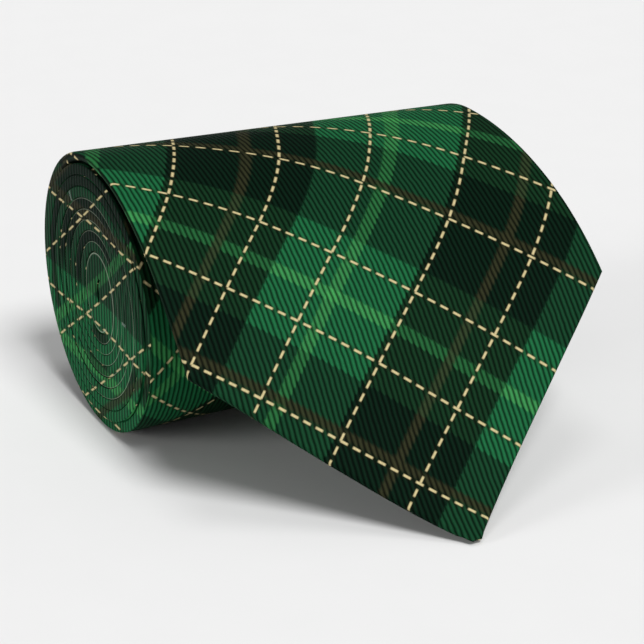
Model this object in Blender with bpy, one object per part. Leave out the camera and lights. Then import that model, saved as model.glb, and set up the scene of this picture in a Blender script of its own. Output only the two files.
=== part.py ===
"""A necktie wound into a roll, lying on its side with the wide blade hanging off the top.

Row frame: X runs along the roll from its flush end (-X) to its tapered end (+X), the blade
falls towards -Y, +Z is up, and the roll rests on z = 0. Units are metres.

The tie is a flat tube of cloth. A place on it is (x, s, depth): x across the roll, s along the
tie from the point of the wide blade, and depth from the front of the cloth into it. The front of
the cloth is a curve in the plane of each end of the roll, and everything between the two ends
is a straight blend, so place() turns (x, s, depth) into a point in the row frame.
"""

import math

import bmesh
import bpy
import numpy as np
from mathutils import Matrix, Vector

# --- Driving dimensions ---------------------------------------------------------------------
TIE_LENGTH = 1.397
BLADE_WIDTH = 0.102
BLADE_POINT = 0.052          # length of the wide blade's V
TAIL_WIDTH = 0.050
TAIL_POINT = 0.025           # length of the tail's V
NECK_WIDTH = 0.038
POINT_CUT = 0.0015           # the V points are blunt by this much

THICKNESS = 0.0016           # whole tie, front to back
WALL = 0.0003                # one layer of the outer cloth
LINING_THICKNESS = 0.0005    # wool interlining
CLEARANCE = 0.00025          # between layers
BREAK = 0.0003               # between two nodes that meet end to end

FLAP_LENGTH = 0.118          # from the point to the crest of the roll
CURL_LINE = 0.062            # where the tip curls up, just above the V's corners
FRONT_PIECE_END = 0.680      # the outer cloth is three pieces joined by two seams
NECK_PIECE_END = 1.040
SEAM_LENGTH = 0.0008

# --- The roll -------------------------------------------------------------------------------
CREST_Y = 0.02837            # puts the middle of the whole part at Y = 0
TURN_STATIONS = 16
HALF_DEPTH = 0.0345          # semi-axis of the outermost turn along Y, at the crest
HALF_HEIGHT = 0.0337         # semi-axis along Z, at the crest
CENTRE_Z = 0.0323
DEPTH_PITCH = 0.00295        # loss of half depth over the first turn
HEIGHT_PITCH = 0.00265
PITCH_EASE = 0.000010        # later turns are wound tighter by this, times turns squared
TAPER = 0.93                 # size of the +X end against the -X end
FAR_SHIFT = 0.004            # the +X end sits this much further back

# --- The hanging blade: fall of the cloth, in degrees, every 20 mm from the crest ------------
FALL_STEP = 0.020
LEFT_FALL = (0, 22, 38, 44, 54, 45, 18)
RIGHT_FALL = (-2, 9, 21, 36, 50, 51, 39)
FLAP_STATION = 0.006

HALF_SPAN = BLADE_WIDTH / 2
SLIT = 0.00035               # half the gap along the back seam
FRONT_HEM = 0.0198           # cloth turned to the back of the wide blade, measured across
TAIL_HEM = 0.0140
FRONT_OPENING_END = 0.112    # the turned edges meet here, above the tipping
TAIL_OPENING_END = 1.340

LEFT, RIGHT = 0, 1


# --- Outline of the flat tie ----------------------------------------------------------------
def half_width(s):
    """Half the tie's width at s."""
    points = [
        (0.0, 0.0),
        (BLADE_POINT, BLADE_WIDTH / 2),
        (FLAP_LENGTH, 0.0505),
        (0.300, 0.0470),
        (0.700, 0.0250),
        (0.860, NECK_WIDTH / 2),
        (1.120, NECK_WIDTH / 2),
        (TIE_LENGTH - TAIL_POINT, TAIL_WIDTH / 2),
        (TIE_LENGTH, 0.0),
    ]
    return float(np.interp(s, *zip(*points)))


def middle(s):
    """X of the tie's centre line: the roll is wound flush at its -X end, dished by 4 mm."""
    flush = -0.0505 + 0.004 * max(0.0, s - 0.7) / (TIE_LENGTH - 0.7)
    width = half_width(min(s, TIE_LENGTH - TAIL_POINT))
    start = (FLAP_LENGTH, 0.300)
    return float(np.interp(s, start, (0.0, 1.0))) * (flush + width)


def opening(s):
    """Half the gap between the two turned edges on the back."""
    front_tip = max(SLIT, half_width(s) - FRONT_HEM)
    tail_tip = max(SLIT, half_width(s) - TAIL_HEM)
    corner = BLADE_WIDTH / 2 - FRONT_HEM
    tail_corner = TAIL_WIDTH / 2 - TAIL_HEM
    tail_start = TIE_LENGTH - TAIL_POINT
    if s < BLADE_POINT:
        return front_tip
    if s > tail_start:
        return tail_tip
    points = [
        (BLADE_POINT, corner),
        (CURL_LINE, corner),
        (FRONT_OPENING_END, SLIT),
        (TAIL_OPENING_END, SLIT),
        (tail_start, tail_corner),
    ]
    return float(np.interp(s, *zip(*points)))


# --- Path of the cloth's front face ---------------------------------------------------------
def spiral_point(turn):
    """Y and Z of the cloth's front at the -X end, turn counted from the crest."""
    angle = 2 * math.pi * turn
    depth = HALF_DEPTH - DEPTH_PITCH * turn + PITCH_EASE * turn**2
    height = HALF_HEIGHT - HEIGHT_PITCH * turn + PITCH_EASE * turn**2
    return np.array([CREST_Y + depth * math.sin(angle), CENTRE_Z + height * math.cos(angle)])


def far_end(point):
    """The +X end's copy of a point of the -X end."""
    back = CREST_Y + FAR_SHIFT + TAPER * (point[0] - CREST_Y)
    return np.array([back, TAPER * point[1]])


def roll_path():
    """Stations of the roll: rows of s, left point and right point, from the crest inwards."""
    step = 1.0 / TURN_STATIONS
    turns = [0.0]
    turns += [step * (k + 0.5) for k in range(14 * TURN_STATIONS)]
    lefts = [spiral_point(turn) for turn in turns]
    lefts[0] = (spiral_point(-step / 2) + spiral_point(step / 2)) / 2
    base = TURN_STATIONS // 2
    lefts[base] = np.array([lefts[base][0], 0.0])
    lefts[base + 1] = np.array([lefts[base + 1][0], 0.0])
    rows = []
    s = FLAP_LENGTH
    for left in lefts:
        right = far_end(left)
        if rows:
            share = (middle(s) + HALF_SPAN) / BLADE_WIDTH
            here = (1 - share) * left + share * right
            before = (1 - share) * rows[-1][1] + share * rows[-1][2]
            s += float(np.linalg.norm(here - before))
        rows.append((s, left, right))
        if s > TIE_LENGTH:
            return rows
    raise ValueError("the roll is too short for the tie")


def flap_path(left_crest, right_crest):
    """Stations of the hanging blade, from its point up to the crest."""
    count = round(FLAP_LENGTH / FLAP_STATION)
    run = np.linspace(0.0, FLAP_LENGTH, count + 1)
    sides = []
    for crest, fall in ((left_crest, LEFT_FALL), (right_crest, RIGHT_FALL)):
        marks = FALL_STEP * np.arange(len(fall))
        mid = (run[1:] + run[:-1]) / 2
        angle = np.radians(np.interp(mid, marks, fall))
        steps = np.diff(run)[:, None] * np.stack([-np.cos(angle), -np.sin(angle)], axis=1)
        sides.append(np.concatenate([[crest], crest + np.cumsum(steps, axis=0)]))
    rows = [(FLAP_LENGTH - r, a, b) for r, a, b in zip(run, *sides)]
    return rows[:0:-1]


def outward_normals(points):
    """Unit normals of a polyline in YZ that point out of the front of the cloth."""
    along = np.diff(points, axis=0)
    along /= np.linalg.norm(along, axis=1)[:, None]
    facet = np.stack([-along[:, 1], along[:, 0]], axis=1)
    joined = np.concatenate([facet[:1], facet[:-1] + facet[1:], facet[-1:]])
    return joined / np.linalg.norm(joined, axis=1)[:, None]


def make_path():
    """Arrays of the whole tie: s, and for each end of the roll the points and normals."""
    roll = roll_path()
    rows = flap_path(roll[0][1], roll[0][2]) + roll
    s = np.array([row[0] for row in rows])
    sides = []
    for side in (LEFT, RIGHT):
        points = np.array([row[1 + side] for row in rows])
        sides.append((points, outward_normals(points)))
    return s, sides


PATH_S, PATH_SIDES = make_path()


def place(x, s, depth):
    """The point at x across the roll, s along the tie and depth below the cloth's front."""
    share = (x + HALF_SPAN) / BLADE_WIDTH
    ends = []
    for side, size in ((LEFT, 1.0), (RIGHT, TAPER)):
        points, normals = PATH_SIDES[side]
        sunk = points - size * depth * normals
        ends.append([np.interp(s, PATH_S, sunk[:, 0]), np.interp(s, PATH_S, sunk[:, 1])])
    y = (1 - share) * ends[LEFT][0] + share * ends[RIGHT][0]
    z = (1 - share) * ends[LEFT][1] + share * ends[RIGHT][1]
    return (float(x), float(y), float(z))


# --- Cross-sections: lists of (x from the centre line, depth) ---------------------------------
def tube_section(s):
    """The outer cloth: a flat tube, open along the middle of the back."""
    half = half_width(s)
    gap = min(opening(s), half - 2 * WALL)
    inner = half - WALL
    back = THICKNESS
    front_parts, back_parts = (4, 2) if s <= FLAP_LENGTH else (1, 1)
    outer_front = [(x, 0.0) for x in np.linspace(half, -half, front_parts + 1)]
    inner_front = [(x, WALL) for x in np.linspace(-inner, inner, front_parts + 1)]
    outer_left = [(x, back) for x in np.linspace(-half, -gap, back_parts + 1)]
    inner_left = [(x, back - WALL) for x in np.linspace(-gap, -inner, back_parts + 1)]
    inner_right = [(x, back - WALL) for x in np.linspace(inner, gap, back_parts + 1)]
    outer_right = [(x, back) for x in np.linspace(gap, half, back_parts + 1)]
    return outer_front + outer_left + inner_left + inner_front + inner_right + outer_right


def slab_section(half, top, bottom, s):
    """A flat strip between two depths."""
    parts = 4 if s <= FLAP_LENGTH else 1
    front = [(x, top) for x in np.linspace(half, -half, parts + 1)]
    back = [(x, bottom) for x in np.linspace(-half, half, parts + 1)]
    return front + back


def lining_section(s):
    """The interlining, loose inside the tube."""
    top = WALL + CLEARANCE
    half = half_width(s) - WALL - 2 * CLEARANCE
    return slab_section(half, top, top + LINING_THICKNESS, s)


def tipping_section(s):
    """The lining cloth that fills the gap between the turned edges."""
    return slab_section(opening(s) - CLEARANCE, THICKNESS - WALL, THICKNESS, s)


def thread_section(s):
    """The slip stitch's thread, lying in the back seam."""
    return slab_section(0.00012, THICKNESS - 0.00028, THICKNESS - 0.00006, FLAP_LENGTH * 2)


def patch_section(half, depth, thickness):
    """A strip sewn on the back of the tie."""
    return lambda s: slab_section(half, depth, depth + thickness, s)


# --- Building -------------------------------------------------------------------------------
def stations(start, end):
    """Values of s for a sweep: the path's own stations and the corners of the outline."""
    corners = [
        BLADE_POINT,
        CURL_LINE,
        FRONT_OPENING_END,
        FRONT_HEM + SLIT,
        TAIL_OPENING_END,
        TIE_LENGTH - TAIL_POINT,
        TIE_LENGTH - TAIL_HEM - SLIT,
    ]
    closest = 0.0006
    inside = sorted(s for s in [*PATH_S, *corners] if start + closest < s < end - closest)
    kept = [start]
    for s in inside:
        if s - kept[-1] > closest:
            kept.append(float(s))
    return kept + [end]


def sweep(name, start, end, section, material):
    """A closed solid: the section carried along the tie from start to end."""
    mesh = bpy.data.meshes.new(name)
    bm = bmesh.new()
    rings = []
    offsets = []
    for s in stations(start, end):
        centre = middle(s)
        points = section(s)
        offsets.append([x for x, depth in points])
        rings.append([bm.verts.new(place(centre + x, s, depth)) for x, depth in points])
    count = len(rings[0])
    for xs, near, far in zip(offsets, rings, rings[1:]):
        for i in range(count):
            j = (i + 1) % count
            # One diagonal direction everywhere keeps the layers of a twisted strip parallel.
            if xs[i] < xs[j]:
                bm.faces.new((near[j], near[i], far[j]))
                bm.faces.new((near[i], far[i], far[j]))
            else:
                bm.faces.new((near[j], near[i], far[i]))
                bm.faces.new((near[j], far[i], far[j]))
    bm.faces.new(rings[0])
    bm.faces.new(rings[-1][::-1])
    bmesh.ops.recalc_face_normals(bm, faces=bm.faces)
    bm.to_mesh(mesh)
    bm.free()
    return finish(bpy.data.objects.new(name, mesh), material)


def thread(name, route, material):
    """A sewing thread along points (x, s), lying on the back of the tie."""
    radius = 0.00015
    depth = THICKNESS + CLEARANCE + radius
    curve = bpy.data.curves.new(name, "CURVE")
    curve.dimensions = "3D"
    curve.bevel_depth = radius
    curve.bevel_resolution = 1
    curve.use_fill_caps = True
    spline = curve.splines.new("POLY")
    spline.points.add(len(route) - 1)
    for point, (x, s) in zip(spline.points, route):
        point.co = (*place(x, s, depth), 1.0)
    return finish(bpy.data.objects.new(name, curve), material)


def hem_route(marks):
    """Up one turned edge and down the other, a little outside the tipping."""
    inset = 0.0012
    half = [(opening(s) + inset, s) for s in marks]
    return [(-x, s) for x, s in half] + half[::-1]


def make_material(name, colour, roughness):
    material = bpy.data.materials.new(name)
    material.use_nodes = True
    shader = material.node_tree.nodes["Principled BSDF"]
    shader.inputs["Base Color"].default_value = (*colour, 1.0)
    shader.inputs["Roughness"].default_value = roughness
    shader.inputs["Metallic"].default_value = 0.0
    return material


def finish(obj, material):
    """Gives an object its material, its shading and its place in the collection."""
    obj.data.materials.append(material)
    if obj.type == "MESH":
        obj.data.shade_smooth()
        obj.data.set_sharp_from_angle(angle=math.radians(35))
    bpy.data.collections["necktie"].objects.link(obj)
    return obj


def hinge_at(name, s, pieces, parent=None):
    """An empty on the front of the cloth at s, on the hinge's axis, that carries the pieces."""
    hinge = bpy.data.objects.new(name, None)
    hinge.empty_display_size = 0.01
    point = Vector(place(0.0, s, 0.0))
    hinge.parent = parent
    hinge.location = point - parent.location if parent else point
    bpy.data.collections["necktie"].objects.link(hinge)
    for piece in pieces:
        piece.data.transform(Matrix.Translation(-point))
        piece.parent = hinge
    return hinge


def clear_scene():
    for obj in list(bpy.data.objects):
        bpy.data.objects.remove(obj, do_unlink=True)
    collection = bpy.data.collections.new("necktie")
    bpy.context.scene.collection.children.link(collection)


def make_roll(cloth, wool, satin, silk_thread, label_cloth):
    """Everything that stays wound up."""
    crest = FLAP_LENGTH + BREAK / 2
    end = TIE_LENGTH - POINT_CUT
    front_seam = FRONT_PIECE_END + BREAK
    neck_start = front_seam + SEAM_LENGTH + BREAK
    tail_seam = NECK_PIECE_END + BREAK
    tail_start = tail_seam + SEAM_LENGTH + BREAK
    sweep("front_shell_roll", crest, FRONT_PIECE_END, tube_section, cloth)
    sweep("front_join_seam", front_seam, front_seam + SEAM_LENGTH, tube_section, silk_thread)
    sweep("neck_shell", neck_start, NECK_PIECE_END, tube_section, cloth)
    sweep("tail_join_seam", tail_seam, tail_seam + SEAM_LENGTH, tube_section, silk_thread)
    sweep("tail_shell", tail_start, end, tube_section, cloth)
    sweep("interlining_roll", crest, end - 0.003, lining_section, wool)
    sweep("slip_stitch", crest + 0.001, TAIL_OPENING_END - 0.002, thread_section, silk_thread)
    tack = (TAIL_OPENING_END + 0.0016, TAIL_OPENING_END + 0.0050)
    sweep("tail_bar_tack", *tack, tipping_section, silk_thread)
    sweep("tail_tipping", tack[1] + BREAK, end - TAIL_HEM - 0.0005, tipping_section, satin)
    on_back = THICKNESS + CLEARANCE
    sweep("keeper_loop", 0.190, 0.202, patch_section(0.026, on_back, 0.0004), cloth)
    sweep("woven_label", 0.212, 0.228, patch_section(0.020, on_back, 0.00025), label_cloth)
    sweep("care_label", 0.240, 0.262, patch_section(0.009, on_back, 0.00025), label_cloth)


def make_blade(cloth, wool, satin, silk_thread):
    """The part of the wide blade between the crest of the roll and the curl line."""
    crest = FLAP_LENGTH - BREAK / 2
    start = CURL_LINE + BREAK / 2
    tack = (FRONT_OPENING_END - 0.0050, FRONT_OPENING_END - 0.0012)
    marks = np.linspace(start + 0.001, FRONT_OPENING_END + 0.001, 11)
    return [
        sweep("front_shell_blade", start, crest, tube_section, cloth),
        sweep("interlining_blade", start, crest, lining_section, wool),
        sweep("tipping_blade", start, tack[0] - BREAK, tipping_section, satin),
        sweep("front_bar_tack", *tack, tipping_section, silk_thread),
        thread("hem_stitch_blade", hem_route(marks), silk_thread),
    ]


def make_tip(cloth, wool, satin, silk_thread):
    """The V of the wide blade, up to the curl line."""
    end = CURL_LINE - BREAK / 2
    marks = np.linspace(end - 0.001, FRONT_HEM - 0.001, 9)
    return [
        sweep("front_shell_tip", POINT_CUT, end, tube_section, cloth),
        sweep("interlining_tip", 0.004, end, lining_section, wool),
        sweep("tipping_tip", FRONT_HEM + 0.0015, end, tipping_section, satin),
        thread("hem_stitch_tip", hem_route(marks), silk_thread),
    ]


def main():
    clear_scene()
    cloth = make_material("tie_cloth", (0.012, 0.085, 0.045), 0.55)
    wool = make_material("interlining_wool", (0.62, 0.58, 0.50), 0.95)
    satin = make_material("tipping_satin", (0.010, 0.045, 0.028), 0.35)
    silk_thread = make_material("sewing_thread", (0.010, 0.060, 0.035), 0.60)
    label_cloth = make_material("label_cloth", (0.020, 0.022, 0.020), 0.60)
    make_roll(cloth, wool, satin, silk_thread, label_cloth)
    blade = make_blade(cloth, wool, satin, silk_thread)
    lift = hinge_at("blade_lift", FLAP_LENGTH, blade)
    tip = make_tip(cloth, wool, satin, silk_thread)
    hinge_at("tip_curl", CURL_LINE, tip, parent=lift)


main()
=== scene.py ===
"""A tartan necktie wound into a roll, with its wide blade hanging off the top to the floor.

Every part of the tie is rebuilt here as soft cloth around the CAD part's path. Lengths are metres.
X runs along the roll from its flush end to its tapered end, the blade falls towards -Y, Z is up.

A place on the tie is (x, s, depth): x across the roll, s along the tie from the point of the wide
blade, depth from the front of the cloth into it. The cloth's pattern lies on p and q, which run
along the two threads of the cloth, at 45 degrees to the tie because a tie is cut on the bias.
"""

import math

import bpy
import numpy as np
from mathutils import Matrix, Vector


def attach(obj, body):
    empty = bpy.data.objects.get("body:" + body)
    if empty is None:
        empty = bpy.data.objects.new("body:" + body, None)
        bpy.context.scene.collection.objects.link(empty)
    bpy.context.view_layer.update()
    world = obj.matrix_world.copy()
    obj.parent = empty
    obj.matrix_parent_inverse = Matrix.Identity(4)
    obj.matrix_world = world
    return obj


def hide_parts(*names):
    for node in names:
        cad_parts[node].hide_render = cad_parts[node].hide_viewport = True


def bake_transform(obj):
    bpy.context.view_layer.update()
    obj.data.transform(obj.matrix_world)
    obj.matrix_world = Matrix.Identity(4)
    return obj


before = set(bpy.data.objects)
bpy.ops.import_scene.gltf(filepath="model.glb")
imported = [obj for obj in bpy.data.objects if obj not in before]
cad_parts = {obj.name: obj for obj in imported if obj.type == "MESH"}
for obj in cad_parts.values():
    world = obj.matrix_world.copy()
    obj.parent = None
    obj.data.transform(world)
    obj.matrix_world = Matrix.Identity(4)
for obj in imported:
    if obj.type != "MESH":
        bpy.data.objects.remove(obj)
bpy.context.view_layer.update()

MM = 0.001

# --- The tie, as the CAD part has it ----------------------------------------------------------
TIE_LENGTH = 1.397
BLADE_WIDTH = 0.102
BLADE_POINT = 0.052
TAIL_WIDTH = 0.050
TAIL_POINT = 0.025
NECK_WIDTH = 0.038
FLAP_LENGTH = 0.118
CURL_LINE = 0.062
FRONT_PIECE_END = 0.680
NECK_PIECE_END = 1.040
SEAM_LENGTH = 0.0008
FRONT_HEM = 0.0198
TAIL_HEM = 0.0140
FRONT_OPENING_END = 0.112
TAIL_OPENING_END = 1.340

CREST_Y = 0.02837
HALF_DEPTH = 0.0345
HALF_HEIGHT = 0.0337
CENTRE_Z = 0.0323
DEPTH_PITCH = 0.00295
HEIGHT_PITCH = 0.00265
PITCH_EASE = 0.000010
TAPER = 0.93
FAR_SHIFT = 0.004
FALL_STEP = 0.020
LEFT_FALL = (0, 22, 38, 44, 54, 45, 18)
RIGHT_FALL = (-2, 9, 21, 36, 50, 51, 39)
HALF_SPAN = BLADE_WIDTH / 2
FLUSH_X = -0.0505            # the flush end
DISH = 0.0012                # how far the flush end is hollowed towards its eye
DISH_FROM = 0.700            # from here along the tie
STRAIGHT_FROM = 0.300        # from here on the left folds lie flush

# --- How finely it is rebuilt, and how it is split ---------------------------------------------
STEPS_PER_TURN = 88
FLAP_STEP = 0.0015
FRONT_COLUMNS = 15
FOLD_STEPS = 8
BACK_COLUMNS = 4
TURNS_DRAWN = 13             # more than the tie has, so that its path never runs out
END_GAP = 0.0002             # the cloth stops this far short of each end of the tie
NEAREST_STATIONS = 0.0004
MEETING_LINE = 0.090         # the tip's cloth and the crest's cloth meet here, mid-blade
CREST_CLOTH_TURN = 0.44      # the crest's cloth ends this far round the roll

# --- Thicknesses -------------------------------------------------------------------------------
SLIT = 0.0001                # half the slit where the turned edges meet
BODY = 0.0016                # the whole tie
WALL = 0.0003                # one layer of the outer cloth
LINING_TOP = 0.00055         # depth of the interlining's front
LINING = 0.0005
SATIN = 0.0003
TIPPING_TOP = BODY - 0.00062

# --- Sewing --------------------------------------------------------------------------------------
ON_BACK = BODY + 0.00010     # depth of the tacks' thread
THREAD_SIDES = 6
THREAD_END = 0.35            # a thread's ends are this much of its radius
TACK_THREAD = 0.00016
STITCH_THREAD = 0.00013
STITCH_RISE = 0.00012
HEM_STITCH_SPACING = 0.0034
SLIP_STITCH_SPACING = 0.0060
HEM_STITCH = (0.0014, 0.0012)    # how far one goes across the tie and along it
SLIP_STITCH = (0.0012, 0.0024)
# Bar tacks: s at both ends, half the width, and how often the thread goes to and fro.
FRONT_TACK = (FRONT_OPENING_END - 0.0050, FRONT_OPENING_END - 0.0012, 0.0030, 11)
TAIL_TACK = (TAIL_OPENING_END + 0.0016, TAIL_OPENING_END + 0.0050, 0.0024, 10)
FRONT_TIPPING = (FRONT_HEM + 0.0015, FRONT_TACK[0] + 0.0030)    # s at both ends
TAIL_TIPPING = (TAIL_OPENING_END + 0.0030, TIE_LENGTH - TAIL_HEM - 0.0010)
TIPPING_MARGIN = 0.0016      # the tipping reaches this far under the turned edges
PATCH_GAP = 0.00025          # the keeper loop and the labels stand this far off the cloth
LINING_MARGIN = 0.0014       # the interlining stops this far inside the tie's outline
LINING_END = 0.0040          # and this far from each point

# --- The folds at the two sides ------------------------------------------------------------------
FLAP_EDGE = 0.0019           # thickness at the folds of the hanging blade
EDGE_FILL = 0.98             # share of the pitch that a wound fold fills at the flush end
EYE_FILL = 0.0042            # the innermost folds swell this much more and close the eye
EYE_TURNS = 2.0              # over this many last turns
EYE_EASE = 0.25
FAR_EDGE = 0.0021            # thickness at the folds of the tapered end
WOUND_TURN = 0.12            # a loose fold has become a wound one after this much of a turn
LOOSE_CORNER = 0.0010        # radius of a loose fold, and how much a wound one is less
CORNER_LOSS = 0.0004
SQUARENESS = 0.62            # how nearly square a wound fold is
PUFF_REACH = 0.012           # a fold swells over this much of the width
THIN_BELOW = 0.004           # where half the width is less, at the two points, the tie gets thinner
THINNEST = 0.35              # down to this share of its thickness
POINT_STATIONS = (0.0006, 0.0020)                # extra values of s for the blunt point


def half_width(s):
    """Half the tie's width at s."""
    points = [
        (0.0, 0.0011),
        (0.0020, 0.0027),
        (BLADE_POINT, BLADE_WIDTH / 2),
        (FLAP_LENGTH, 0.0505),
        (STRAIGHT_FROM, 0.0470),
        (0.700, 0.0250),
        (0.860, NECK_WIDTH / 2),
        (1.120, NECK_WIDTH / 2),
        (TIE_LENGTH - TAIL_POINT, TAIL_WIDTH / 2),
        (TIE_LENGTH, 0.0010),
    ]
    return np.interp(s, *zip(*points))


def middle(s):
    """X of the tie's centre line."""
    s = np.asarray(s, float)
    flush = FLUSH_X + DISH * np.maximum(0.0, s - DISH_FROM) / (TIE_LENGTH - DISH_FROM)
    width = half_width(np.minimum(s, TIE_LENGTH - TAIL_POINT))
    return np.interp(s, (FLAP_LENGTH, STRAIGHT_FROM), (0.0, 1.0)) * (flush + width)


def opening(s):
    """Half the gap between the two turned edges on the back."""
    tail_start = TIE_LENGTH - TAIL_POINT
    points = [
        (BLADE_POINT, BLADE_WIDTH / 2 - FRONT_HEM),
        (CURL_LINE, BLADE_WIDTH / 2 - FRONT_HEM),
        (FRONT_OPENING_END, SLIT),
        (TAIL_OPENING_END, SLIT),
        (tail_start, TAIL_WIDTH / 2 - TAIL_HEM),
    ]
    gap = np.interp(s, *zip(*points))
    gap = np.where(s < BLADE_POINT, half_width(s) - FRONT_HEM, gap)
    gap = np.where(s > tail_start, half_width(s) - TAIL_HEM, gap)
    return np.maximum(gap, SLIT)


# --- The path of the cloth's front ---------------------------------------------------------------
def spiral(turn):
    """Y and Z of the cloth's front at the flush end."""
    angle = 2 * math.pi * turn
    depth = HALF_DEPTH - DEPTH_PITCH * turn + PITCH_EASE * turn**2
    height = HALF_HEIGHT - HEIGHT_PITCH * turn + PITCH_EASE * turn**2
    y = CREST_Y + depth * np.sin(angle)
    z = CENTRE_Z + height * np.cos(angle)
    return np.stack([y, np.maximum(z, 0.0)], axis=-1)


def far_end(point):
    """The tapered end's copy of points at the flush end."""
    back = CREST_Y + FAR_SHIFT + TAPER * (point[..., 0] - CREST_Y)
    return np.stack([back, TAPER * point[..., 1]], axis=-1)


def normals_of(points):
    along = np.gradient(points, axis=0)
    along /= np.linalg.norm(along, axis=1)[:, None]
    return np.stack([-along[:, 1], along[:, 0]], axis=1)


def make_path():
    """Stations of the whole tie: s, turn, and for each end of the roll its points and normals."""
    turn = np.arange(TURNS_DRAWN * STEPS_PER_TURN) / STEPS_PER_TURN
    left = spiral(turn)
    right = far_end(left)
    s = [FLAP_LENGTH]
    for k in range(1, len(turn)):
        share = (float(middle(s[-1])) + HALF_SPAN) / BLADE_WIDTH
        step = (1 - share) * (left[k] - left[k - 1]) + share * (right[k] - right[k - 1])
        s.append(s[-1] + float(np.linalg.norm(step)))
    run = np.linspace(0.0, FLAP_LENGTH, round(FLAP_LENGTH / FLAP_STEP) + 1)
    flaps = []
    for crest, fall in ((left[0], LEFT_FALL), (right[0], RIGHT_FALL)):
        mid = (run[1:] + run[:-1]) / 2
        angle = np.radians(np.interp(mid, FALL_STEP * np.arange(len(fall)), fall))
        steps = np.diff(run)[:, None] * np.stack([-np.cos(angle), -np.sin(angle)], axis=1)
        flaps.append((crest + np.cumsum(steps, axis=0))[::-1])
    s = np.concatenate([(FLAP_LENGTH - run[1:])[::-1], s])
    turn = np.concatenate([(-run[1:] / (2 * math.pi * HALF_DEPTH))[::-1], turn])
    sides = []
    for flap, wound in zip(flaps, (left, right)):
        points = np.concatenate([flap, wound])
        sides.append((points, normals_of(points)))
    return s, turn, sides


PATH_S, PATH_TURN, PATH_SIDES = make_path()


def place(x, s, depth):
    """Points of the tie. x, s and depth are arrays of one shape."""
    share = (x + HALF_SPAN) / BLADE_WIDTH
    ends = []
    for (points, normals), size in zip(PATH_SIDES, (1.0, TAPER)):
        at = [np.interp(s, PATH_S, column) for column in (*points.T, *normals.T)]
        ends.append((at[0] - size * depth * at[2], at[1] - size * depth * at[3]))
    y = (1 - share) * ends[0][0] + share * ends[1][0]
    z = (1 - share) * ends[0][1] + share * ends[1][1]
    return np.stack([x, y, np.maximum(z, 0.0)], axis=-1)


def turn_at(s):
    return np.interp(s, PATH_S, PATH_TURN)


LAST_TURN = float(turn_at(TIE_LENGTH))


def s_at_turn(turn):
    return float(np.interp(turn, PATH_TURN, PATH_S))


def pitch_at(s):
    """How far apart two windings are at s, measured through the cloth at the flush end."""
    turn = np.maximum(turn_at(s), 0.0)
    normals = PATH_SIDES[0][1]
    facing = np.stack([np.interp(s, PATH_S, column) for column in normals.T], axis=-1)
    return np.abs(((spiral(turn) - spiral(turn + 1.0)) * facing).sum(axis=-1))


def stations(start, end):
    """Values of s for a sweep from start to end, with the corners of the tie's outline."""
    corners = [BLADE_POINT, CURL_LINE, FRONT_OPENING_END, FRONT_HEM + SLIT, TAIL_OPENING_END]
    corners += [TIE_LENGTH - TAIL_POINT, TIE_LENGTH - TAIL_HEM - SLIT, *POINT_STATIONS]
    every = np.array(sorted([*PATH_S, *corners]))
    inside = [s for s in every if start + NEAREST_STATIONS < s < end - NEAREST_STATIONS]
    kept = [start]
    for s in inside:
        if s - kept[-1] > NEAREST_STATIONS:
            kept.append(float(s))
    return np.array([*kept, end])


# --- Mesh building -------------------------------------------------------------------------------
SHARP_EDGE = 50              # degrees; smooth shading stops at a sharper edge


def new_piece(name, points, faces, material):
    mesh = bpy.data.meshes.new(name)
    mesh.from_pydata(points.tolist(), [], faces)
    mesh.materials.append(material)
    mesh.shade_smooth()
    mesh.set_sharp_from_angle(angle=math.radians(SHARP_EDGE))
    mesh.update()
    piece = bpy.data.objects.new(name, mesh)
    bpy.context.scene.collection.objects.link(piece)
    return piece


def set_uv(mesh, name, values):
    layer = mesh.uv_layers.new(name=name)
    layer.uv.foreach_set("vector", np.ascontiguousarray(values, dtype=np.float32).ravel())


def smooth(share):
    """Eases a share from 0 to 1 in and out."""
    return share * share * (3 - 2 * share)


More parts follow.
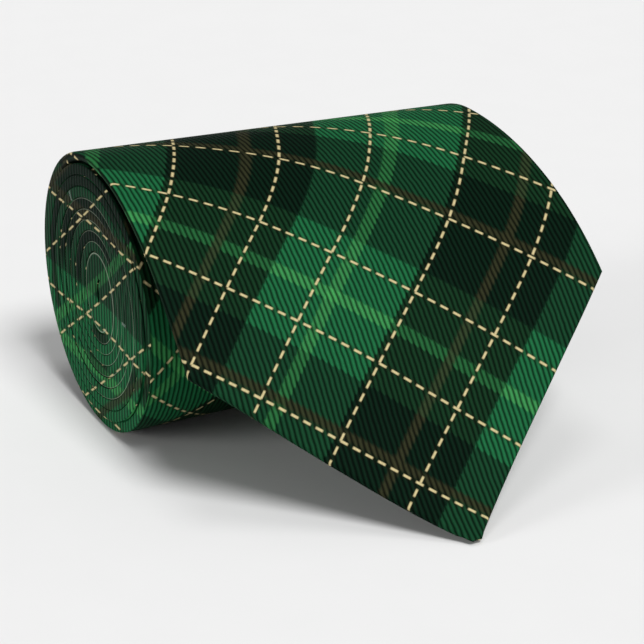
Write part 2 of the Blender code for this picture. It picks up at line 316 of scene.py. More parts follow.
def across(s, shrink):
    """One ring of the cloth tube at each s, from the right turned edge round the front to the left.

    shrink is how far the ring lies inside the outer face. Returns x from the centre line, and depth.
    """
    half = half_width(s)[:, None]
    gap = np.minimum(opening(s)[:, None], half * 0.45)
    wound = np.clip(turn_at(s) / WOUND_TURN, 0.0, 1.0)[:, None]
    left = FLAP_EDGE + wound * (EDGE_FILL * pitch_at(s)[:, None] - FLAP_EDGE)
    inmost = np.clip((turn_at(s)[:, None] - LAST_TURN + EYE_TURNS) / EYE_EASE, 0.0, 1.0)
    left = left + EYE_FILL * smooth(inmost)
    right = FLAP_EDGE + wound * (FAR_EDGE - FLAP_EDGE)
    thin = np.clip(half / THIN_BELOW, THINNEST, 1.0)
    corner = np.minimum(LOOSE_CORNER - CORNER_LOSS * wound, 0.45 * half)
    power = 1.0 - SQUARENESS * wound
    angles = np.linspace(math.pi / 2, -math.pi / 2, FOLD_STEPS + 1)[None, :]
    reach = np.minimum(PUFF_REACH, 0.6 * half)

    def back(x):
        edge = smooth(np.clip(1 - (half - corner - np.abs(x)) / reach, 0.0, 1.0))
        side = np.where(x > 0, right, left)
        return (BODY + (side - BODY) * edge) * thin

    def rounded(value):
        return np.sign(value) * np.abs(value) ** power

    straight = half - corner
    parts = []
    flat = np.linspace(0.0, 1.0, BACK_COLUMNS + 1)[None, :-1]
    x = gap + flat * (straight - gap)
    parts.append((x, back(x) - shrink))
    thick = back(straight)
    rim = corner - shrink
    x = straight + rim * rounded(np.cos(angles))
    parts.append((x, thick / 2 + (thick / 2 - shrink) * rounded(np.sin(angles))))
    flat = np.linspace(1.0, -1.0, FRONT_COLUMNS + 1)[None, 1:-1]
    x = flat * straight
    parts.append((x, np.full_like(x, shrink)))
    thick = back(-straight)
    x = -straight - rim * rounded(np.cos(angles))
    parts.append((x, thick / 2 - (thick / 2 - shrink) * rounded(np.sin(angles))))
    flat = np.linspace(1.0, 0.0, BACK_COLUMNS + 1)[None, 1:]
    x = -gap - flat * (straight - gap)
    parts.append((x, back(x) - shrink))
    all_x, all_depths = zip(*parts)
    return np.concatenate(all_x, axis=1), np.concatenate(all_depths, axis=1)


RIGHT_CREST = BACK_COLUMNS + FOLD_STEPS // 2
LEFT_CREST = BACK_COLUMNS + FOLD_STEPS + 1 + FRONT_COLUMNS - 1 + FOLD_STEPS // 2
END_COLUMNS = (LEFT_CREST - 3, LEFT_CREST + 3)    # the folds that make the roll's flush end
END_FROM = 0.10              # turns; the flush end starts here
FOLD_COLUMNS = (LEFT_CREST - 2, LEFT_CREST + 4)   # the left fold of the hanging blade
SHADED_FOLD_FROM = 0.080       # painted shade: from here up it is coloured black, standing in for the shade it lies in
HAIRLINE_COLUMN = LEFT_CREST - 2
HAIRLINES_FROM = 3.4         # turns; from here in, a thin pale line is painted along the windings: a painted highlight for their lit rims
DARK_EASE = 0.03             # turns; the black fades out over this much
DARK_ARCS = (                # turns; where the black of the check shows on the flush end
    (0.66, 0.73), (0.86, 1.13), (1.90, 2.34), (2.60, 2.70), (3.84, 4.24), (4.90, 5.20), (5.44, 5.56),
    (6.88, 7.26), (8.42, 8.60), (9.86, 10.2),
)


def fabric_place(across_cloth, s, right_crest, left_crest):
    """Where each corner lies in the flat cloth: (w, s), unfolding what is turned to the back."""
    crest = np.where(across_cloth > 0, right_crest, -left_crest)
    turned = np.abs(across_cloth) > crest + 1e-7
    beyond = np.abs(across_cloth) - crest
    sign = np.sign(across_cloth)
    inward = crest - beyond
    to_point = (s - inward) / math.sqrt(2)
    edge = (s - crest) / math.sqrt(2)
    by_point = turned & (to_point.mean(axis=-1) < beyond.mean(axis=-1))[..., None]
    w = across_cloth.copy()
    along = s + np.zeros_like(w)
    near = 2 * edge - to_point
    far = (s + inward) / math.sqrt(2)
    w = np.where(by_point, sign * (far - near) / math.sqrt(2), w)
    along = np.where(by_point, (far + near) / math.sqrt(2), along)
    return w, along


def eased(value, reach):
    """0 below -reach, value above reach, and a smooth bend between."""
    bend = np.clip(value + reach, 0.0, 2 * reach) ** 2 / (4 * reach)
    return bend + np.maximum(0.0, value - reach)


# How the check lies askew, in millimetres. It bows on the left half, and towards the crest it
# shortens along the tie and leans across it, each from a slanting line on and eased in over a reach.
BOW = 0.0015
SHORTENING, SHORT_FROM, SHORT_SLANT, SHORT_REACH = 0.266, 87.5, 0.5, 17.5
LEAN, LEAN_FROM, LEAN_SLANT, LEAN_REACH = 0.30, 102.0, 0.3, 12.0
SKEW_END = 140.0             # it goes no further than this
ROLL_FROM, ROLL_FULL = 135.0, 250.0
ROLL_DRIFT = (28.0, -28.0)   # across and along, on the rest of the roll


def drift(w, s):
    """How far the pattern lies from a straight check: the cloth is pulled askew near the crest."""
    w, s = w / MM, s / MM
    fade = smooth(np.clip((ROLL_FULL - s) / (ROLL_FULL - ROLL_FROM), 0.0, 1.0))
    s = np.minimum(s, SKEW_END)
    bow = BOW * np.minimum(w, 0.0) ** 2
    along = bow - SHORTENING * eased(s + SHORT_SLANT * w - SHORT_FROM, SHORT_REACH)
    sideways = LEAN * eased(s - LEAN_SLANT * w - LEAN_FROM, LEAN_REACH)
    sideways = fade * sideways + (1 - fade) * ROLL_DRIFT[0]
    along = fade * along + (1 - fade) * ROLL_DRIFT[1]
    return sideways * MM, along * MM


END_P, END_P_Z, END_P_SCALE = 0.0450, 0.02470, 0.90    # a p line crosses the flush end at this z
END_Q, END_Q_Z, END_Q_SCALE = 0.0583, 0.02975, 0.87    # and a q line at this z and y
END_Q_Y, END_Q_SLOPE = 0.0292, 0.72
END_RIBS = 1.42              # the ribs are this much wider there


def end_face_place(points):
    """The pattern across the flush end of the roll, which runs on from winding to winding."""
    y, z = points[..., 1], points[..., 2]
    p = END_P + END_P_SCALE * (z - END_P_Z)
    q = END_Q - END_Q_SCALE * ((z - END_Q_Z) + END_Q_SLOPE * (y - END_Q_Y))
    return p, q, y / END_RIBS, z / END_RIBS


def dark_at(s):
    """1 where the flush end shows the black of the check and 0 where it shows the green."""
    turn = turn_at(s)
    dark = np.zeros_like(turn)
    for first, last in DARK_ARCS:
        inside = np.minimum(turn - first, last - turn) / DARK_EASE + 0.5
        dark = np.maximum(dark, np.clip(inside, 0.0, 1.0))
    return dark


def quads(a, b, c, d):
    """Four-cornered faces from four arrays of point numbers."""
    return np.stack([a, b, c, d], axis=-1).reshape(-1, 4)


def make_shell(s):
    """A closed, hollow, C-shaped shell through the rings at each s.

    Returns x and depth of its rings, its points, its faces, and how many of them are the outside.
    """
    x, depth = across(s, 0.0)
    inner_x, inner_depth = across(s, WALL)
    centre = middle(s)[:, None]
    flat_s = np.repeat(s[:, None], x.shape[1], axis=1)
    outer = place(centre + x, flat_s, depth)
    inner = place(centre + inner_x, flat_s, inner_depth)
    points = np.concatenate([outer.reshape(-1, 3), inner.reshape(-1, 3)])
    ids = np.arange(x.size).reshape(x.shape)
    inside = ids + x.size
    skin = quads(ids[:-1, :-1], ids[:-1, 1:], ids[1:, 1:], ids[1:, :-1])
    lining = quads(inside[:-1, 1:], inside[:-1, :-1], inside[1:, :-1], inside[1:, 1:])
    right_lip = quads(ids[1:, 0], inside[1:, 0], inside[:-1, 0], ids[:-1, 0])
    left_lip = quads(ids[:-1, -1], inside[:-1, -1], inside[1:, -1], ids[1:, -1])
    first = quads(ids[0, 1:], ids[0, :-1], inside[0, :-1], inside[0, 1:])
    last = quads(ids[-1, :-1], ids[-1, 1:], inside[-1, 1:], inside[-1, :-1])
    faces = np.concatenate([skin, lining, right_lip, left_lip, first, last])
    return x, depth, points, faces, len(skin)


def tube(name, start, end, material):
    """The outer cloth from start to end, with its cloth maps."""
    s = stations(start, end)
    x, depth, points, faces, outside = make_shell(s)
    step = np.hypot(np.diff(x, axis=1), np.diff(depth, axis=1))
    run = np.concatenate([np.zeros((len(s), 1)), np.cumsum(step, axis=1)], axis=1)
    front = (run[:, [RIGHT_CREST]] + run[:, [LEFT_CREST]]) / 2
    across_cloth = front - run

    ring_of, column_of = np.divmod(faces % x.size, x.shape[1])
    right_crest = across_cloth[ring_of, RIGHT_CREST]
    left_crest = across_cloth[ring_of, LEFT_CREST]
    w, along = fabric_place(across_cloth[ring_of, column_of], s[ring_of], right_crest, left_crest)
    w_drift, s_drift = drift(w, along)
    p = (along + s_drift + w + w_drift) / math.sqrt(2)
    q = (along + s_drift - w - w_drift) / math.sqrt(2)

    lowest, highest = column_of.min(axis=1), column_of.max(axis=1)
    is_outside = np.arange(len(faces)) < outside
    face_s = s[ring_of].mean(axis=1)
    on_end = (lowest >= END_COLUMNS[0]) & (highest <= END_COLUMNS[1])
    on_end = (on_end & is_outside & (face_s > s_at_turn(END_FROM)))[:, None]
    end_p, end_q, end_w, end_s = end_face_place(points[faces])
    p, q = np.where(on_end, end_p, p), np.where(on_end, end_q, q)
    w, along = np.where(on_end, end_w, w), np.where(on_end, end_s, along)
    # Painted shade: the hanging blade's left fold is coloured black, standing in for the shade it lies in.
    fold = (lowest >= FOLD_COLUMNS[0]) & (highest <= FOLD_COLUMNS[1])
    fold = (fold & is_outside & (face_s > SHADED_FOLD_FROM))[:, None] & ~on_end
    dark = np.where(fold, 1.0, dark_at(s)[ring_of])
    chosen = np.broadcast_to(on_end | fold, dark.shape)

    piece = new_piece(name, points, faces.tolist(), material)
    set_uv(piece.data, "pattern", np.stack([p, q], axis=-1))
    set_uv(piece.data, "weave", np.stack([w, along], axis=-1))
    set_uv(piece.data, "end", np.stack([chosen, dark], axis=-1))
    # Painted highlight: a thin pale hairline along the fold of each inner winding, standing in for its lit
    # rim.
    painted_rim_highlight = np.zeros(len(points), np.float32)
    painted_rim_highlight[:x.size].reshape(x.shape)[:, HAIRLINE_COLUMN] = s > s_at_turn(HAIRLINES_FROM)
    attribute = piece.data.attributes.new("painted_rim_highlight", "FLOAT", "POINT")
    attribute.data.foreach_set("value", painted_rim_highlight)
    return piece


def strip(name, start, end, half, top, thickness, material, slot, columns):
    """A flat strip of cloth inside or on the tie. half is a function of s; depths grow backwards."""
    s = stations(start, end)
    share = np.linspace(-1.0, 1.0, columns + 1)[None, :]
    wide = np.asarray(half(s), float)[:, None] * np.ones((len(s), 1))
    x = share * wide
    rim = np.minimum(1.0, (1 - np.abs(share)) * wide / (thickness / 2))
    round_off = thickness / 2 * (1 - np.sqrt(1 - (1 - rim) ** 2))
    flat_s = np.repeat(s[:, None], columns + 1, axis=1)
    centre = middle(s)[:, None]
    front = place(centre + x, flat_s, top + round_off)
    back = place(centre + x, flat_s, top + thickness - round_off * 0.98)
    points = np.concatenate([front.reshape(-1, 3), back.reshape(-1, 3)])
    ids = np.arange(x.size).reshape(x.shape)
    under = ids + x.size
    faces = np.concatenate([
        quads(ids[:-1, 1:], ids[:-1, :-1], ids[1:, :-1], ids[1:, 1:]),
        quads(under[:-1, :-1], under[:-1, 1:], under[1:, 1:], under[1:, :-1]),
        quads(ids[:-1, 0], under[:-1, 0], under[1:, 0], ids[1:, 0]),
        quads(ids[1:, -1], under[1:, -1], under[:-1, -1], ids[:-1, -1]),
        quads(ids[0, :-1], ids[0, 1:], under[0, 1:], under[0, :-1]),
        quads(ids[-1, 1:], ids[-1, :-1], under[-1, :-1], under[-1, 1:]),
    ])
    ring_of, column_of = np.divmod(faces % x.size, columns + 1)
    piece = new_piece(name, points, faces.tolist(), material)
    set_uv(piece.data, "weave", np.stack([x[ring_of, column_of], s[ring_of]], axis=-1))
    return piece


def threads(name, runs, radius, material):
    """Sewing threads. Each run is an array of (x, s, depth) that one bit of thread follows."""
    points = []
    faces = []
    sides = THREAD_SIDES
    for route in runs:
        line = place(*np.array(route, float).T)
        along = np.gradient(line, axis=0)
        along /= np.linalg.norm(along, axis=1)[:, None]
        # The thread's own up is square to it and to X, or to Z where it runs along X.
        up = np.cross(along, (1.0, 0.0, 0.0))
        weak = np.linalg.norm(up, axis=1) < 0.2
        up[weak] = np.cross(along[weak], (0.0, 0.0, 1.0))
        up /= np.linalg.norm(up, axis=1)[:, None]
        side = np.cross(along, up)
        angle = np.linspace(0, 2 * math.pi, sides, endpoint=False)
        size = radius * np.array([THREAD_END] + [1.0] * (len(line) - 2) + [THREAD_END])
        base = len(points)
        for k, centre in enumerate(line):
            ring = np.cos(angle)[:, None] * up[k] + np.sin(angle)[:, None] * side[k]
            points.extend(centre + size[k] * ring)
        for k in range(len(line) - 1):
            for i in range(sides):
                j = (i + 1) % sides
                a = base + k * sides
                faces.append([a + i, a + j, a + sides + j, a + sides + i])
        faces.append([base + i for i in reversed(range(sides))])
        faces.append([base + (len(line) - 1) * sides + i for i in range(sides)])
    piece = new_piece(name, np.array(points), faces, material)
    return piece


# --- Materials -----------------------------------------------------------------------------------
def srgb(red, green, blue, gain=1.0):
    """A colour given as it should look, 0 to 255, as the linear value that shaders take."""
    linear = []
    for channel in (red, green, blue):
        c = channel / 255
        c = c / 12.92 if c <= 0.04045 else ((c + 0.055) / 1.055) ** 2.4
        linear.append(min(1.0, c * gain))
    return (*linear, 1.0)


class Graph:
    """A material's nodes, with one call for each step."""

    def __init__(self, name):
        self.material = bpy.data.materials.new(name)
        self.material.use_nodes = True
        self.tree = self.material.node_tree
        self.shader = self.tree.nodes["Principled BSDF"]

    def add(self, kind, values=(), output=0, **settings):
        node = self.tree.nodes.new(kind)
        for name, value in settings.items():
            setattr(node, name, value)
        for where, value in dict(values).items():
            self.put(node.inputs[where], value)
        return node.outputs[output]

    def put(self, socket, value):
        if isinstance(value, bpy.types.NodeSocket):
            self.tree.links.new(value, socket)
        else:
            socket.default_value = value

    def math(self, operation, *values, clamp=False):
        return self.add("ShaderNodeMath", enumerate(values), operation=operation, use_clamp=clamp)

    def mix(self, share, a, b, blend="MIX"):
        values = {0: share, 6: a, 7: b}
        return self.add("ShaderNodeMix", values, output=2, data_type="RGBA", blend_type=blend)

    def noise(self, vector, scale, detail=2.0, roughness=0.5):
        values = {"Vector": vector, "Scale": scale, "Detail": detail, "Roughness": roughness}
        return self.add("ShaderNodeTexNoise", values)

    def map_place(self, name, scale=1 / MM):
        """The two coordinates of a map, in millimetres unless scale says otherwise, and both in one."""
        uv = self.add("ShaderNodeUVMap", uv_map=name)
        scaled = self.add("ShaderNodeVectorMath", {0: uv, "Scale": scale}, operation="SCALE")
        split = self.tree.nodes.new("ShaderNodeSeparateXYZ")
        self.put(split.inputs[0], scaled)
        return split.outputs[0], split.outputs[1], scaled

    def band(self, at, centre, width, period, soft=0.35):
        """1 inside stripes of this width, spaced by period, and 0 outside."""
        off = self.math("SUBTRACT", at, centre)
        off = self.math("ABSOLUTE", self.math("WRAP", off, period / 2, -period / 2))
        inside = self.math("DIVIDE", self.math("SUBTRACT", width / 2 + soft / 2, off), soft)
        return self.math("MINIMUM", self.math("MAXIMUM", inside, 0.0), 1.0)

    def bump(self, height, strength, distance):
        values = {"Strength": strength, "Distance": distance, "Height": height}
        self.put(self.shader.inputs["Normal"], self.add("ShaderNodeBump", values))

    def finish(self, colour, **settings):
        self.put(self.shader.inputs["Base Color"], colour)
        for name, value in settings.items():
            self.put(self.shader.inputs[name.replace("_", " ")], value)
        return self.material


# The check, in millimetres. Lines and bands across p or q repeat with its period.
P_PERIOD, Q_PERIOD = 61.0, 59.6
P_DASHES = (6.2, 25.5, 45.0)
Q_DASHES = (16.8, 37.3, 58.2)
P_BRIGHT = (35.5, 31.0)      # centre and width of the brighter band
Q_GREEN = (54.0, 30.2)       # and of the green band; the rest is black
P_STRIPE, Q_STRIPE, STRIPE_WIDTH = 35.0, 53.8, 3.0
P_BROWN, Q_BROWN = (7.9, 2.0), (23.4, 2.3)
BROWN_SHARE = 0.85
DASH_PITCH, DASH_LENGTH, DASH_WIDTH = 3.25, 1.85, 0.54
DASH_SHARE = 0.95
HALO_WIDTH, HALO_SHARE = DASH_WIDTH + 0.7, 0.40      # the darker line that dashes are sewn in
RIB_PITCH = 1.2
RIB_WANDER = 0.35            # the ribs are a little uneven
RIB_STEP = 0.45              # and colour edges step over them
RIB_LOW, RIB_RISE = 0.22, 1.40                       # how dark between ribs, and how much more on one
CLOTH_GAIN = 0.70            # darkens every colour of the ground


def tie_cloth_material():
    g = Graph("tartan_twill")
    p, q, _ = g.map_place("pattern")
    w, _, weave = g.map_place("weave")
    on_end, dark, _ = g.map_place("end", 1.0)

    grain = g.add("ShaderNodeVectorMath", {0: weave, 1: (6.0, 1.3, 1.0)}, operation="MULTIPLY")
    yarn = g.noise(grain, 1.0, detail=3.0, roughness=0.6)
    wander = g.math("MULTIPLY", g.math("SUBTRACT", g.noise(weave, 0.35, 1.0), 0.5), RIB_WANDER)
    phase = g.math("ADD", w, wander)
    wave = g.math("MULTIPLY", phase, 2 * math.pi / RIB_PITCH)
    rib = g.math("ADD", g.math("MULTIPLY", g.math("SINE", wave), 0.5), 0.5)
    shift = g.math("MULTIPLY", g.math("SUBTRACT", rib, 0.5), RIB_STEP)
    p_edge = g.math("ADD", p, shift)
    q_edge = g.math("ADD", q, shift)

    bright = g.band(p_edge, *P_BRIGHT, P_PERIOD)
    green = g.band(q_edge, *Q_GREEN, Q_PERIOD)
    # Where the end map chooses, its dark value sets the black: the check's black on the flush end, and
    # painted shade on the blade's left fold.
    change = g.math("SUBTRACT", g.math("SUBTRACT", 1.0, dark), green)
    green = g.math("ADD", green, g.math("MULTIPLY", on_end, change))
    p_stripe = g.band(p_edge, P_STRIPE, STRIPE_WIDTH, P_PERIOD)
    q_stripe = g.band(q_edge, Q_STRIPE, STRIPE_WIDTH, Q_PERIOD)
    black = g.mix(bright, srgb(8, 31, 19, CLOTH_GAIN), srgb(18, 50, 29, CLOTH_GAIN))
    greens = g.mix(bright, srgb(20, 62, 38, CLOTH_GAIN), srgb(28, 97, 58, CLOTH_GAIN))
    ground = g.mix(green, black, greens)
    on_p = g.mix(green, srgb(34, 90, 50, CLOTH_GAIN), srgb(54, 130, 72, CLOTH_GAIN))
    ground = g.mix(p_stripe, ground, on_p)
    on_q = g.mix(bright, srgb(38, 98, 54, CLOTH_GAIN), srgb(50, 122, 68, CLOTH_GAIN))
    on_q = g.mix(p_stripe, on_q, srgb(60, 142, 76, CLOTH_GAIN))
    ground = g.mix(q_stripe, ground, on_q)
    brown = g.mix(bright, srgb(48, 49, 31, CLOTH_GAIN), srgb(48, 61, 38, CLOTH_GAIN))
    for at_line, (centre, width), period in ((p_edge, P_BROWN, P_PERIOD), (q_edge, Q_BROWN, Q_PERIOD)):
        share = g.math("MULTIPLY", g.band(at_line, centre, width, period, 0.7), BROWN_SHARE)
        ground = g.mix(share, ground, brown)

    lift = g.math("POWER", rib, 0.8)
    shade = g.math("ADD", g.math("MULTIPLY", lift, RIB_RISE), RIB_LOW)
    shade = g.math("MULTIPLY", shade, g.math("ADD", g.math("MULTIPLY", yarn, 0.5), 0.75))
    cloth = g.mix(1.0, ground, g.add("ShaderNodeCombineColor", {0: shade, 1: shade, 2: shade}), "MULTIPLY")

    dashes, halos = 0.0, 0.0
    for line, along, centres, period in ((p, q, P_DASHES, P_PERIOD), (q, p, Q_DASHES, Q_PERIOD)):
        dash = g.band(along, 0.6, DASH_LENGTH, DASH_PITCH, 0.4)
        for centre in centres:
            thread = g.band(line, centre, DASH_WIDTH, period, 0.25)
            halo = g.band(line, centre, HALO_WIDTH, period, 0.8)
            dashes = g.math("MAXIMUM", dashes, g.math("MULTIPLY", thread, dash))
            halos = g.math("MAXIMUM", halos, halo)
    cloth = g.mix(g.math("MULTIPLY", halos, HALO_SHARE), cloth, srgb(20, 24, 12))
    cream = g.mix(yarn, srgb(172, 156, 110), srgb(226, 211, 162))
    cloth = g.mix(g.math("MULTIPLY", dashes, DASH_SHARE), cloth, cream)

    # Painted highlight: the pale hairline along the inner windings' lit rims.
    painted_rim_highlight = g.add("ShaderNodeAttribute", output=2, attribute_name="painted_rim_highlight")
    worn = g.math("MULTIPLY", g.math("POWER", painted_rim_highlight, 4.0), 0.8)
    cloth = g.mix(worn, cloth, srgb(168, 180, 160))

    height = g.math("ADD", rib, g.math("MULTIPLY", yarn, 0.35))
    height = g.math("ADD", height, g.math("MULTIPLY", dashes, 0.5))
    g.bump(height, 0.55, 0.00022)
    rough = g.math("ADD", g.math("MULTIPLY", yarn, 0.2), 0.48)
    return g.finish(cloth, Roughness=rough, Specular_IOR_Level=0.02)


def plain_cloth_material(name, low, high, thread, roughness, sheen, relief, specular=0.3):
    """A plain weave or satin: two tones over threads of the given pitch, in millimetres.

    relief is the depth of its bumps, in metres.
    """
    g = Graph(name)
    w, s, weave = g.map_place("weave")
    over = g.math("SINE", g.math("MULTIPLY", w, 2 * math.pi / thread))
    under = g.math("SINE", g.math("MULTIPLY", s, 2 * math.pi / (thread * 1.15)))
    cross = g.math("ADD", g.math("MULTIPLY", g.math("MULTIPLY", over, under), 0.5), 0.5)
    cloud = g.noise(weave, 0.22, 3.0, 0.6)
    tone = g.math("ADD", g.math("MULTIPLY", cross, 0.6), g.math("MULTIPLY", cloud, 0.4))
    g.bump(g.math("ADD", cross, cloud), 0.5, relief)
    rough = g.math("ADD", g.math("MULTIPLY", cloud, 0.15), roughness)
    return g.finish(
        g.mix(tone, low, high), Roughness=rough, Specular_IOR_Level=specular,
        Sheen_Weight=sheen, Sheen_Roughness=0.5,
    )


def thread_material():
    g = Graph("spun_thread")
    at = g.add("ShaderNodeTexCoord", output=3)
    twist = g.add(
        "ShaderNodeTexWave", {"Vector": at, "Scale": 900.0, "Distortion": 1.5, "Detail": 2.0},
        output=1, bands_direction="DIAGONAL",
    )
    g.bump(twist, 0.4, 0.00008)
    return g.finish(
        g.mix(twist, srgb(18, 46, 32), srgb(44, 92, 64)), Roughness=0.6, Sheen_Weight=0.15
    )


def bend_at_crest(piece):
    """Bakes the placement of a piece at the blade's crest into its points; nothing bends it."""
    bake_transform(piece)


def bend_at_curl(piece):
    """Bakes the placement of a piece just above the corners of the blade's point into its points; nothing
    bends it.
    """
    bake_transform(piece)


def make_cloth(material):
    crest_end = s_at_turn(CREST_CLOTH_TURN)
    tip = tube("tip_cloth", END_GAP, MEETING_LINE, material)
    bend_at_curl(tip)
    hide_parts("front_shell_tip")
    crest = tube("crest_cloth", MEETING_LINE, crest_end, material)
    bend_at_crest(crest)
    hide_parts("front_shell_blade")
    seam = SEAM_LENGTH
    parts = [
        ("front_cloth_roll", "front_shell_roll", crest_end, FRONT_PIECE_END),
        ("neck_cloth", "neck_shell", FRONT_PIECE_END + seam, NECK_PIECE_END),
        ("tail_cloth", "tail_shell", NECK_PIECE_END + seam, TIE_LENGTH - END_GAP),
    ]
    for name, node, start, end in parts:
        piece = tube(name, start, end, material)
        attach(piece, "roll")
        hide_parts(node)


def make_lining(material):
    def half(s):
        return np.maximum(half_width(s) - LINING_MARGIN, 0.0008)

    crest_end = s_at_turn(CREST_CLOTH_TURN)
    parts = [
        ("lining_tip", "interlining_tip", LINING_END, MEETING_LINE, bend_at_curl),
        ("lining_crest", "interlining_blade", MEETING_LINE, crest_end, bend_at_crest),
        ("lining_roll", "interlining_roll", crest_end, TIE_LENGTH - LINING_END, None),
    ]
    for name, node, start, end, bend in parts:
        piece = strip(name, start, end, half, LINING_TOP, LINING, material, "interlining", 6)
        if bend:
            bend(piece)
        else:
            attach(piece, "roll")
        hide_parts(node)


def stitch(x, s, dx, ds):
    """One short stitch on the back, from (x, s) by (dx, ds), arched a little off the cloth."""
    t = np.linspace(0.0, 1.0, 5)
    depth = BODY + STITCH_RISE * (4 * t * (1 - t))
    return np.stack([x + dx * t, s + ds * t, depth], axis=1)


def zigzag(start, end, half, count):
    """A bar tack: one thread to and fro across the slit, count times each way."""
    t = np.linspace(0.0, 1.0, 2 * count + 1)
    x = half * np.where(np.arange(len(t)) % 2, 1.0, -1.0)
    fine = np.linspace(0.0, 1.0, 12 * count + 1)
    x = np.interp(fine, t, x)
    s = start + (end - start) * fine
    return np.stack([x + middle(s), s, np.full_like(s, ON_BACK)], axis=1)


def make_tippings(material):
    def half(s):
        return opening(s) + TIPPING_MARGIN

    piece = strip("tipping", *FRONT_TIPPING, half, TIPPING_TOP, SATIN, material, "tipping", 12)
    bend_at_curl(piece)
    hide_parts("tipping_tip", "tipping_blade")
    piece = strip(
        "tail_tipping_cloth", *TAIL_TIPPING, half, TIPPING_TOP, SATIN, material, "tipping", 8
    )
    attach(piece, "roll")
    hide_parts("tail_tipping")


def make_tacks(material):
    bar = threads("front_tack", [zigzag(*FRONT_TACK)], TACK_THREAD, material)
    bend_at_crest(bar)
    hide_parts("front_bar_tack")
    bar = threads("tail_tack", [zigzag(*TAIL_TACK)], TACK_THREAD, material)
    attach(bar, "roll")
    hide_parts("tail_bar_tack")


def make_stitches(material):
    hem = []
    for s in np.arange(FRONT_HEM + 0.0020, FRONT_OPENING_END - 0.0080, HEM_STITCH_SPACING):
        for side in (-1, 1):
            edge = float(opening(np.array(s)))
            hem.append(stitch(side * (edge - HEM_STITCH[0] / 2), s, side * HEM_STITCH[0], HEM_STITCH[1]))
    piece = threads("hem_stitches", hem, STITCH_THREAD, material)
    bend_at_curl(piece)
    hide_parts("hem_stitch_tip", "hem_stitch_blade")

    crest_end = s_at_turn(CREST_CLOTH_TURN)
    for name, start, end in (
        ("slip_stitch_crest", FRONT_OPENING_END + 0.0010, crest_end - 0.0020),
        ("slip_stitch_roll", crest_end, TAIL_OPENING_END - 0.0020),
    ):
        marks = np.arange(start, end, SLIP_STITCH_SPACING)
        runs = [stitch(float(middle(s)) - SLIP_STITCH[0] / 2, s, *SLIP_STITCH) for s in marks]
        piece = threads(name, runs, STITCH_THREAD, material)
        if "crest" in name:
            bend_at_crest(piece)
        else:
            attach(piece, "roll")
        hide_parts("slip_stitch")


def make_seams(material):
    """The two joins of the outer cloth, each a narrow band of sewing."""
    parts = [
        ("front_seam", "front_join_seam", FRONT_PIECE_END),
        ("tail_seam", "tail_join_seam", NECK_PIECE_END),
    ]
    for name, node, start in parts:
        points, faces = make_shell(stations(start, start + SEAM_LENGTH))[2:4]
        piece = new_piece(name, points, faces.tolist(), material)
        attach(piece, "roll")
        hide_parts(node)


def make_patches(cloth, tape):
    """The keeper loop and the two labels, sewn to the back."""
    top = BODY + PATCH_GAP
    # Piece, node, s at both ends, half the width, thickness, material and slot.
    parts = [
        ("keeper_strap", "keeper_loop", 0.190, 0.202, 0.026, 0.0004, cloth, "tie_cloth"),
        ("blank_woven_label", "woven_label", 0.212, 0.228, 0.020, 0.00025, tape, "label"),
        ("blank_care_label", "care_label", 0.240, 0.262, 0.009, 0.00025, tape, "label"),
    ]
    for name, node, start, end, half, thickness, material, slot in parts:
        def half_at(s, half=half):
            return np.full_like(s, half)

        piece = strip(name, start, end, half_at, top, thickness, material, slot, 8)
        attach(piece, "roll")
        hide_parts(node)


# --- Studio --------------------------------------------------------------------------------------
FLOOR_SIZE = 12.0
FLOOR_DROP = 0.00005         # keeps the floor just clear of the tie
SKY = 0.235                  # strength of the pale surroundings
SUN_SPREAD = 20              # degrees
SUNS = (                     # strength, azimuth and elevation
    ("front", 2.50, 0, 55),
    ("left", 1.00, -90, 15),
    ("overhead", 0.45, 0, 90),
)
CAMERA_AZIMUTH, CAMERA_ELEVATION = -26, 23.5
CAMERA_DISTANCE = 0.6595
CAMERA_TARGET = (0.0, 0.0120, 0.0226)
LENS, SENSOR = 157.3, 36.0


def direction_from(azimuth, elevation):
    """Towards a place in the studio. Azimuth 0 lies towards -Y, 90 towards +X."""
    a, e = math.radians(azimuth), math.radians(elevation)
    return Vector((math.sin(a) * math.cos(e), -math.cos(a) * math.cos(e), math.sin(e)))


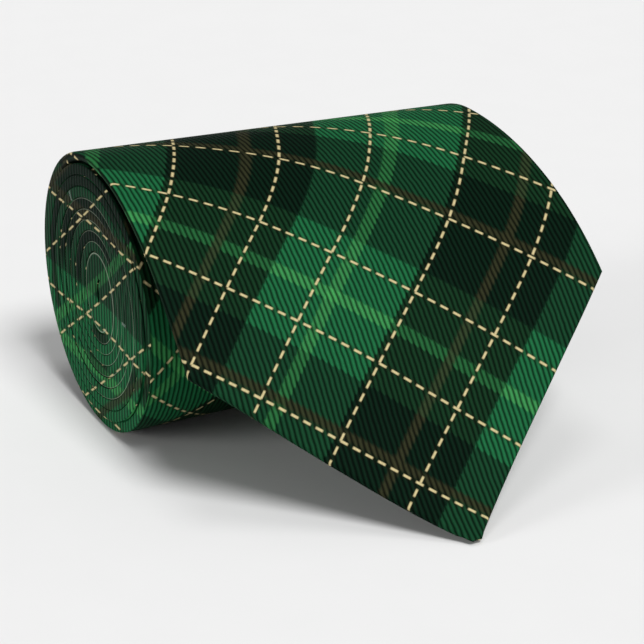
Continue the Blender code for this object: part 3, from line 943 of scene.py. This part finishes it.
def make_floor():
    mesh = bpy.data.meshes.new("floor")
    size = FLOOR_SIZE / 2
    corners = [(-size, -size, 0), (size, -size, 0), (size, size, 0), (-size, size, 0)]
    mesh.from_pydata(corners, [], [(0, 1, 2, 3)])
    g = Graph("pale_paper")
    at = g.add("ShaderNodeTexCoord", output=3)
    fine = g.noise(at, 60.0, 4.0)
    paper = g.mix(fine, (0.79, 0.79, 0.79, 1), (0.81, 0.81, 0.81, 1))
    mesh.materials.append(g.finish(paper, Roughness=0.95, Specular_IOR_Level=0.1))
    floor = bpy.data.objects.new("floor", mesh)
    floor.location.z = -FLOOR_DROP
    bpy.context.scene.collection.objects.link(floor)


def add_sun(name, strength, azimuth, elevation):
    """A soft distant light."""
    light = bpy.data.lights.new(name, "SUN")
    light.energy = strength
    light.angle = math.radians(SUN_SPREAD)
    lamp = bpy.data.objects.new(name, light)
    direction = direction_from(azimuth, elevation)
    lamp.rotation_euler = direction.to_track_quat("Z", "Y").to_euler()
    bpy.context.scene.collection.objects.link(lamp)


def make_studio():
    world = bpy.data.worlds.new("studio")
    world.use_nodes = True
    background = world.node_tree.nodes["Background"]
    background.inputs["Color"].default_value = (1.0, 1.0, 1.0, 1.0)
    background.inputs["Strength"].default_value = SKY
    bpy.context.scene.world = world
    for sun in SUNS:
        add_sun(*sun)


def make_camera():
    direction = direction_from(CAMERA_AZIMUTH, CAMERA_ELEVATION)
    data = bpy.data.cameras.new("camera")
    data.sensor_width = SENSOR
    data.lens = LENS
    data.clip_start = 0.01
    camera = bpy.data.objects.new("camera", data)
    camera.location = Vector(CAMERA_TARGET) + CAMERA_DISTANCE * direction
    camera.rotation_euler = direction.to_track_quat("Z", "Y").to_euler()
    bpy.context.scene.collection.objects.link(camera)
    bpy.context.scene.camera = camera


cloth = tie_cloth_material()
satin = plain_cloth_material(
    "tipping_satin", srgb(12, 44, 28), srgb(24, 70, 46), 0.18, 0.42, 0.0, 0.00003, 0.2
)
wool = plain_cloth_material(
    "brushed_wool", srgb(172, 164, 146), srgb(214, 207, 190), 0.9, 0.85, 0.4, 0.00012
)
tape = plain_cloth_material(
    "woven_tape", srgb(22, 24, 22), srgb(46, 48, 45), 0.3, 0.55, 0.1, 0.00005
)
sewing = thread_material()
make_cloth(cloth)
make_lining(wool)
make_tippings(satin)
make_tacks(sewing)
make_stitches(sewing)
make_seams(sewing)
make_patches(cloth, tape)
make_floor()
make_studio()
make_camera()
bpy.context.scene.view_settings.view_transform = "Standard"
